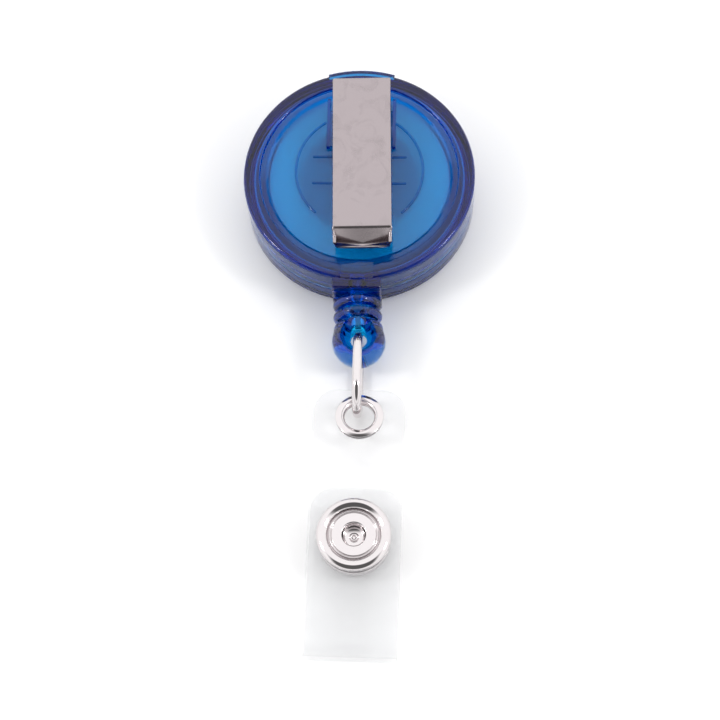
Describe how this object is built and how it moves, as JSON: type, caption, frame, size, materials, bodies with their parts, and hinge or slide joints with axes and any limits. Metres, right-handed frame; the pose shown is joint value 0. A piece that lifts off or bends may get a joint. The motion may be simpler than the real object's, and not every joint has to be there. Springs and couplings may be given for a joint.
{
  "type": "retractable badge reel",
  "caption": "Round retractable badge reel with a sprung cord, steel belt clip, ball end, wire ring and clear snap strap.",
  "frame": {"origin": "on the reel's axis, in the flat front face that it rests on", "axes": "+Z along the reel's axis towards the belt clip, -Y the way the cord pulls out, X across the strap"},
  "size_m": [0.032, 0.0833, 0.0122],
  "materials": {
    "blue_plastic": "translucent, polished",
    "natural_plastic": "natural acetal",
    "nickel_steel": "satin nickel",
    "spring_steel": "blued strip and wire",
    "chrome": "bright nickel",
    "clear_vinyl": "clear, slightly milky",
    "cord": "braided nylon, pale"
  },
  "bodies": {
    "case": {"front_shell": "blue_plastic", "back_shell": "blue_plastic", "belt_clip": "nickel_steel", "cord_lead": "cord"},
    "clip_leaf": {"belt_clip_leaf": "nickel_steel"},
    "spool": {"spool": "natural_plastic", "cord_winding": "cord", "cord_anchor_knot": "cord", "spiral_spring": "spring_steel"},
    "cord_end": {"cord_knot": "cord"},
    "end_fitting": {"end_fitting": "blue_plastic"},
    "ring": {"ring": "chrome"},
    "strap": {"strap_front": "clear_vinyl", "strap_fold": "clear_vinyl", "eyelet": "chrome", "snap_cap": "chrome", "snap_socket": "chrome", "snap_spring": "spring_steel"},
    "strap_tail": {"strap_tail": "clear_vinyl", "snap_stud": "chrome", "snap_post": "chrome"}
  },
  "joints": [
    {"name": "cord_pull", "type": "slide", "parent": "case", "child": "cord_end", "axis": [0, -1, 0], "range_m": [0, 0.86], "stiffness_N_per_m": 0.93, "springref_m": -0.43, "deforming": ["cord_lead"]},
    {"name": "fitting_turn", "type": "hinge", "parent": "cord_end", "child": "end_fitting", "pos_m": [0, -0.01715, 0.0042], "axis": [0.0584, -0.9983, 0], "range_deg": [-180, 180]},
    {"name": "spool_spin", "type": "hinge", "parent": "case", "child": "spool", "pos_m": [0, 0, 0.0042], "axis": [0, 0, 1], "range_deg": [-4681, 0], "deforming": ["spiral_spring"]},
    {"name": "clip_flex", "type": "hinge", "parent": "case", "child": "clip_leaf", "pos_m": [0.00018, 0.01228, 0.01225], "axis": [-0.9997, -0.0262, 0], "range_deg": [0, 8], "stiffness_Nm_per_rad": 0.4, "springref_deg": -2.86},
    {"name": "ring_lean", "type": "hinge", "parent": "end_fitting", "child": "ring", "pos_m": [0.00036, -0.02329, 0.0042], "axis": [0, 0, 1], "range_deg": [-50, 50]},
    {"name": "strap_swing", "type": "hinge", "parent": "ring", "child": "strap", "pos_m": [0.00036, -0.02984, 0.0044], "axis": [-1, 0, 0], "range_deg": [-50, 100]},
    {"name": "strap_open", "type": "hinge", "parent": "strap", "child": "strap_tail", "pos_m": [0.00011, -0.06494, 0.00237], "axis": [-0.9998, 0.0175, 0], "range_deg": [0, 170], "deforming": ["strap_fold"]}
  ],
  "couplings": [
    {"joint": "spool_spin", "follows": "cord_pull", "rad_per_m": -94.978}
  ]
}
